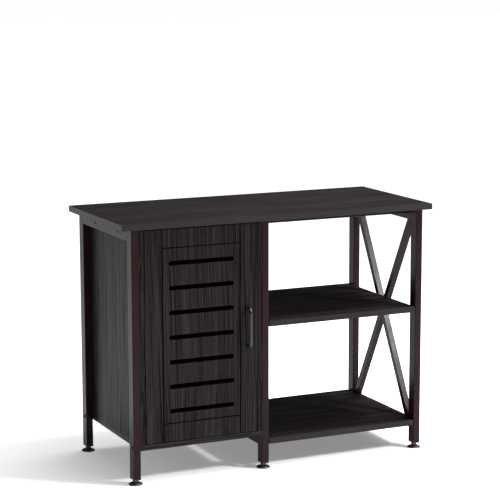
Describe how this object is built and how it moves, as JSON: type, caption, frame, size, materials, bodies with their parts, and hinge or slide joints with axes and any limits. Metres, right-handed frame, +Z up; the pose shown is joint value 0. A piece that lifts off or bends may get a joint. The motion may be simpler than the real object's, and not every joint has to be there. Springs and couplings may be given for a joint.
{
  "type": "aquarium stand cabinet",
  "caption": "Aquarium stand: tube-steel frame on levelling feet with a dark laminate top, louvred-door cabinet on the left and open shelves with a cross brace on the right.",
  "frame": {"origin": "on the floor, under the middle of the whole stand with its door shut", "axes": "+X to the right of a person who faces the door, +Y to the back, +Z up"},
  "size_m": [1.028, 0.473, 0.778],
  "materials": {
    "top_laminate": "satin black wood-grain laminate",
    "shelf_laminate": "satin black wood-grain laminate",
    "door_laminate": "embossed black wood-grain laminate",
    "carcass_laminate": "satin black wood-grain laminate",
    "hardboard": "painted hardboard",
    "powder_coat": "satin brown-black powder coat",
    "handle_paint": "satin black",
    "black_plastic": "matte",
    "zinc_steel": "zinc plated",
    "black_screw": "black oxide",
    "magnet": "sintered, dull"
  },
  "bodies": {
    "stand": {"back_screws": "zinc_steel", "bottom_shelf": "shelf_laminate", "brace_long": "powder_coat", "brace_lower": "powder_coat", "brace_upper": "powder_coat", "cabinet_back": "hardboard", "cabinet_floor": "carcass_laminate", "cabinet_partition": "carcass_laminate", "cabinet_side": "carcass_laminate", "catch_housing": "black_plastic", "catch_magnet": "magnet", "catch_screws": "zinc_steel", "floor_bolts": "black_screw", "inner_shelf": "carcass_laminate", "low_rail_middle": "powder_coat", "low_rail_right": "powder_coat", "middle_shelf": "shelf_laminate", "pivot_pins": "black_screw", "pivot_washer": "black_plastic", "post_back_left": "powder_coat", "post_back_middle": "powder_coat", "post_back_right": "powder_coat", "post_end_plugs": "black_plastic", "post_front_left": "powder_coat", "post_front_middle": "powder_coat", "post_front_right": "powder_coat", "rail_screws": "black_screw", "shelf_bolts": "black_screw", "shelf_pegs": "zinc_steel", "side_screws": "zinc_steel", "tabletop": "top_laminate", "tabletop_screws": "zinc_steel", "top_beam_back": "powder_coat", "top_beam_front": "powder_coat", "top_rail_left": "powder_coat", "top_rail_middle": "powder_coat", "top_rail_right": "powder_coat"},
    "door": {"door": "door_laminate", "door_handle": "handle_paint", "handle_screws": "zinc_steel", "pivot_bushes": "black_plastic", "strike_plate": "zinc_steel", "strike_screws": "zinc_steel"},
    "foot_front_left": {"foot_pad_front_left": "black_plastic", "foot_stud_front_left": "zinc_steel"},
    "foot_front_middle": {"foot_pad_front_middle": "black_plastic", "foot_stud_front_middle": "zinc_steel"},
    "foot_front_right": {"foot_pad_front_right": "black_plastic", "foot_stud_front_right": "zinc_steel"},
    "foot_back_left": {"foot_pad_back_left": "black_plastic", "foot_stud_back_left": "zinc_steel"},
    "foot_back_middle": {"foot_pad_back_middle": "black_plastic", "foot_stud_back_middle": "zinc_steel"},
    "foot_back_right": {"foot_pad_back_right": "black_plastic", "foot_stud_back_right": "zinc_steel"}
  },
  "joints": [
    {"name": "door_pivot", "type": "hinge", "parent": "stand", "child": "door", "pos_m": [-0.4275, -0.2005, 0.4385], "axis": [0, 0, -1], "range_deg": [0, 105]},
    {"name": "foot_front_left_level", "type": "slide", "parent": "stand", "child": "foot_front_left", "axis": [0, 0, -1], "range_m": [0, 0.012]},
    {"name": "foot_front_middle_level", "type": "slide", "parent": "stand", "child": "foot_front_middle", "axis": [0, 0, -1], "range_m": [0, 0.012]},
    {"name": "foot_front_right_level", "type": "slide", "parent": "stand", "child": "foot_front_right", "axis": [0, 0, -1], "range_m": [0, 0.012]},
    {"name": "foot_back_left_level", "type": "slide", "parent": "stand", "child": "foot_back_left", "axis": [0, 0, -1], "range_m": [0, 0.012]},
    {"name": "foot_back_middle_level", "type": "slide", "parent": "stand", "child": "foot_back_middle", "axis": [0, 0, -1], "range_m": [0, 0.012]},
    {"name": "foot_back_right_level", "type": "slide", "parent": "stand", "child": "foot_back_right", "axis": [0, 0, -1], "range_m": [0, 0.012]}
  ]
}
